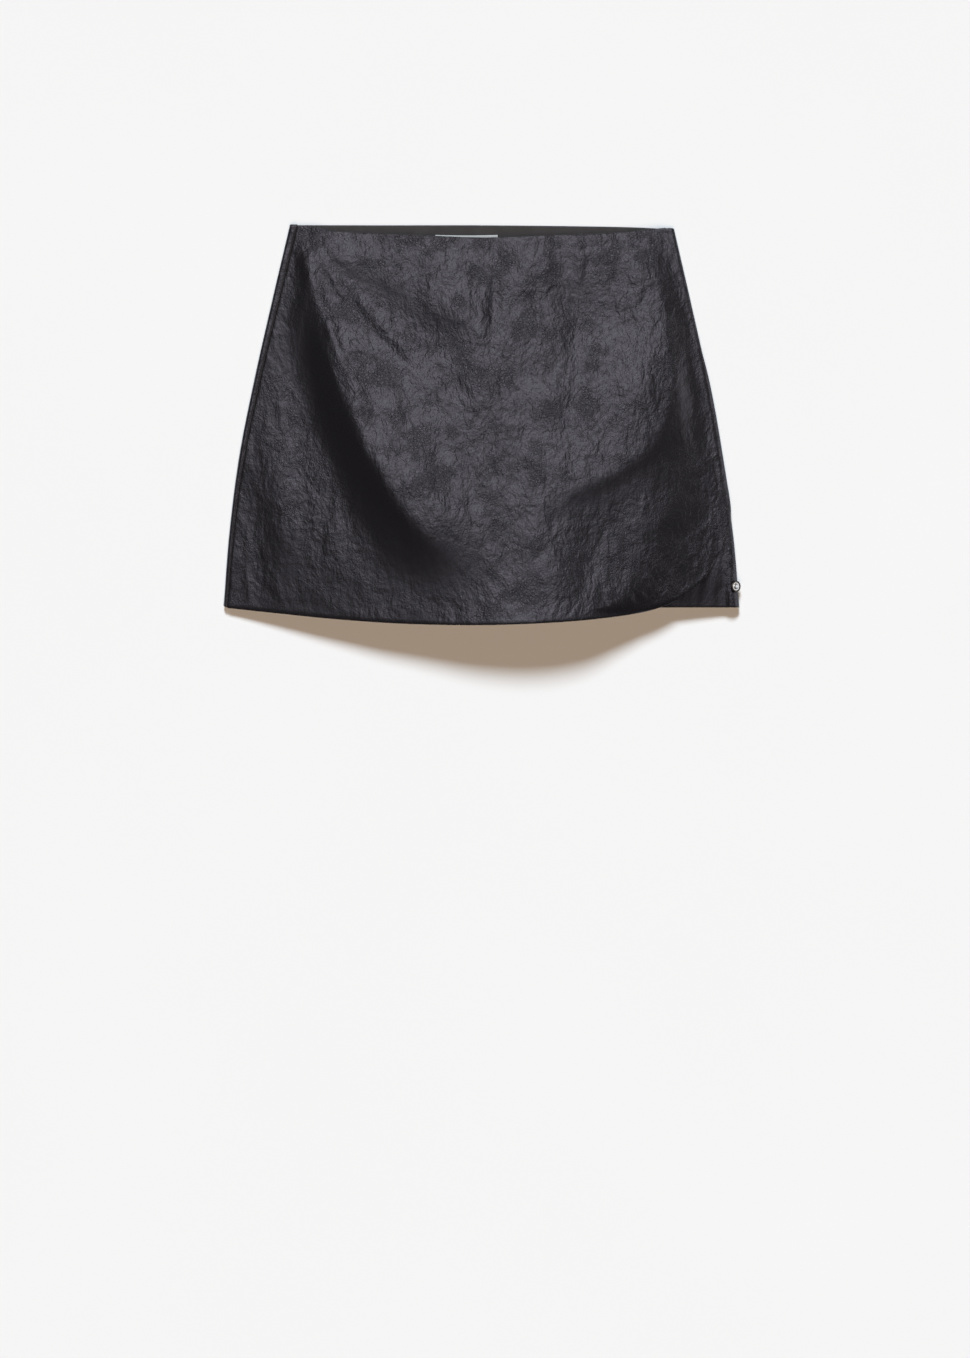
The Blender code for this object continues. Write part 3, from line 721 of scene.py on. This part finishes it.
def wrap_front(name):
    at_seam, middle, over_side = COLUMNS
    columns = (
        np.linspace(0, SEAM_END, at_seam)[:-1],
        np.linspace(SEAM_END, ROLL_FROM, middle)[:-1],
        np.linspace(ROLL_FROM, 1, over_side),
    )
    across = np.concatenate(columns)
    down = np.linspace(0, 1, WRAP_ROWS)
    seam_y = np.linspace(FRONT_WAIST[0][1], WRAP_HEM[0][1], 12)
    seam = np.column_stack([left_seam(seam_y) + SEAM_GAP / 2, seam_y])
    waist, hem = (np.array(edge) for edge in (FRONT_WAIST, WRAP_HEM))
    waist[0], hem[0] = seam[0], seam[-1]
    top, bottom = along(waist, across)[None], along(hem, across)[None]
    left, right = along(seam, down)[:, None], along(WRAP_FREE_EDGE, down)[:, None]
    u, v = across[None, :, None], down[:, None, None]
    corners = (1 - u) * ((1 - v) * top[:, :1] + v * bottom[:, :1])
    corners = corners + u * ((1 - v) * top[:, -1:] + v * bottom[:, -1:])
    flat = (1 - v) * top + v * bottom + (1 - u) * left + u * right - corners
    x, y = flat[..., 0], flat[..., 1]
    off_seam = x - left_seam(y)
    held = smooth(off_seam / SEAM_HOLD) * smooth((free_edge_x(y) - x) / EDGE_HOLD)
    z = crown(x, y) + creases(FOLDS, x, y) * freedom(x, y) + creases(CREASES, x, y) * held
    z += creases(HEM_PRINTS, x, y) + seam_round(off_seam)
    drop = wrap_drop(y)
    radius = (roll_reach(y) + read(HEIGHTS, 2, y) / 2) / 2 + drop
    over = np.clip(x - roll_start(y), 0, None)
    rolled_x, rolled_z = around_roll(y, over / radius, drop)
    x, z = np.where(over > 0, rolled_x, x), np.where(over > 0, rolled_z, z)
    hem_band = smooth((height_of(WRAP_HEM, x) + HEM_DEPTH + HEM_FADE / 2 - y) / HEM_FADE)
    from_edge = np.minimum(free_edge_x(y) - flat[..., 0], y - height_of(WRAP_HEM, flat[..., 0]))
    pressed = EDGE_PRESS * np.exp(-((np.clip(from_edge, 0, None) / EDGE_TURN) ** 2)) * hem_band
    thick = WALL + (HEM_WALL - WALL) * hem_band - pressed
    return lay(name, np.stack([x, y, z - pressed], axis=-1), thick=thick, wear_and_sheen=WRAP_WEAR_AND_SHEEN)


wrap = wrap_front("wrap_front_cloth")
wrap.data.materials.append(leather)
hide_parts("wrap_front")
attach(wrap, "root")

# ---------------------------------------------------------------------------------------------
# The stud's cap, on the right leg near the hem: nickelled brass, pressed, its rim painted black as
# painted shade round a bright low dome. Its post goes through the cloth and holds it on.

STUD_FACE = 0.0038  # the radius of the bright face
STUD_LINE = 0.0003
NICKEL = (0.38, 0.45, 0.54)
NICKEL_WORN = (0.50, 0.58, 0.68)
# painted shade round the cap's rim
RIM_PAINTED_SHADE = (0.006, 0.006, 0.007)


def stud_metal(centre):
    metal = Finish("stud metal")
    away = metal.node("ShaderNodeVectorMath", {"operation": "DISTANCE"}, {0: metal.place, 1: centre}, 1)
    rim = metal.ramp(away, STUD_FACE - STUD_LINE, STUD_FACE + STUD_LINE)
    grain = metal.noise(0.0006, 3.0)
    tone = metal.mix(metal.noise(0.003, 2.0), NICKEL, NICKEL_WORN)
    # outside the bright face the cap is painted black and matt: painted shade round its rim
    metal.feed(metal.shader.inputs["Base Color"], metal.mix(rim, tone, RIM_PAINTED_SHADE))
    metal.feed(metal.shader.inputs["Metallic"], 1 - rim)
    metal.feed(metal.shader.inputs["Roughness"], grain * 0.12 + 0.26)
    metal.relief(grain * 0.02)
    return metal.material


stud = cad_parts["stud_cap"]
stud_box = np.array(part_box("stud_cap"))
for slot in stud.material_slots:
    slot.material = stud_metal(tuple(stud_box.mean(axis=0)))

# ---------------------------------------------------------------------------------------------
# The studio: a pale surface, a window beyond the waist and the room's own fill for what is matt, a
# soft light overhead and a low card that the gloss of the cloth reflects, and a camera straight above.

SURFACE_HALF = 24.0
SURFACE_TONES = (0.86, 0.855, 0.845), (0.88, 0.875, 0.868)
CAMERA_HEIGHT = 3.0
FRAME_MIDDLE = (0.0036, -0.2467)
FRAME_HEIGHT = 1.3227
SENSOR = 0.024
ROOM_TONE = (1.0, 0.80, 0.62)
ROOM_GLOW = 0.15
LIGHT_TONE = (1.0, 0.83, 0.68)  # of the soft light that the gloss reflects
LIGHT_GLOW = 3.9
LIGHT_POWER = 16.0  # how closely the soft light keeps to its middle
LIGHT_LEAN = math.radians(22)  # from straight above, towards the waist
LIGHT_TURN = math.radians(4)
LAMPS = (  # aim, how closely it keeps to its middle, strength
    ((-0.034, 0.483, 0.875), 80.0, 4.2),  # the soft light's bright core
    ((0.965, 0.080, 0.250), 20.0, 3.0),  # a pale card low on the right
)
SUNS = (  # name, strength, tone, then in degrees: spread, lean from straight above, turn
    ("window", 3.86, (0.795, 0.90, 1.0), 16, -46.5, 4),
    ("room", 1.343, (1.0, 0.777, 0.587), 44, 25, 0),
)

shape = bmesh.new()
bmesh.ops.create_grid(shape, x_segments=1, y_segments=1, size=SURFACE_HALF)
mesh = bpy.data.meshes.new("surface")
shape.to_mesh(mesh)
shape.free()
surface = bpy.data.objects.new("surface", mesh)
bpy.context.scene.collection.objects.link(surface)
pale = Finish("pale surface", Roughness=0.9, Specular_IOR_Level=0.1)
mottle = pale.noise(0.30, 2.0)
pale.feed(pale.shader.inputs["Base Color"], pale.mix(mottle, *SURFACE_TONES))
mesh.materials.append(pale.material)

world = bpy.data.worlds.new("studio")
bpy.context.scene.world = world
world.use_nodes = True
room = world.node_tree
direction = room.nodes.new("ShaderNodeTexCoord")
wash = room.nodes["Background"]
wash.inputs["Color"].default_value = (*ROOM_TONE, 1)
wash.inputs["Strength"].default_value = ROOM_GLOW


def lamp(aim, power, strength):
    """A soft light in the room, brightest where it aims."""
    towards = room.nodes.new("ShaderNodeVectorMath")
    towards.operation = "DOT_PRODUCT"
    room.links.new(direction.outputs["Generated"], towards.inputs[0])
    towards.inputs[1].default_value = aim
    facing_it = Wire(room, towards.outputs["Value"])
    return facing_it.maths("MAXIMUM", facing_it, 0.0) ** power * strength


level = math.sin(LIGHT_LEAN)
middle = (-level * math.sin(LIGHT_TURN), level * math.cos(LIGHT_TURN), math.cos(LIGHT_LEAN))
glow = lamp(middle, LIGHT_POWER, LIGHT_GLOW)
for aim, power, strength in LAMPS:
    glow = glow + lamp(aim, power, strength)
soft_light = room.nodes.new("ShaderNodeBackground")
soft_light.inputs["Color"].default_value = (*LIGHT_TONE, 1)
room.links.new(glow.socket, soft_light.inputs["Strength"])
both = room.nodes.new("ShaderNodeAddShader")
room.links.new(wash.outputs[0], both.inputs[0])
room.links.new(soft_light.outputs[0], both.inputs[1])
room.links.new(both.outputs[0], room.nodes["World Output"].inputs["Surface"])
world.cycles_visibility.diffuse = False

for name, strength, tone, spread, lean, turn in SUNS:
    sun = bpy.data.lights.new(name, "SUN")
    sun.energy = strength
    sun.color = tone
    sun.angle = math.radians(spread)
    lit = bpy.data.objects.new(name, sun)
    lit.rotation_euler = (math.radians(lean), 0, math.radians(turn))
    lit.visible_glossy = False
    bpy.context.scene.collection.objects.link(lit)

camera_data = bpy.data.cameras.new("above")
camera_data.sensor_fit = "VERTICAL"
camera_data.sensor_height = SENSOR * 1000
camera_data.lens = SENSOR * 1000 * CAMERA_HEIGHT / FRAME_HEIGHT
camera = bpy.data.objects.new("above", camera_data)
camera.location = (*FRAME_MIDDLE, CAMERA_HEIGHT)
bpy.context.scene.collection.objects.link(camera)
bpy.context.scene.camera = camera
bpy.context.scene.view_settings.view_transform = "Standard"
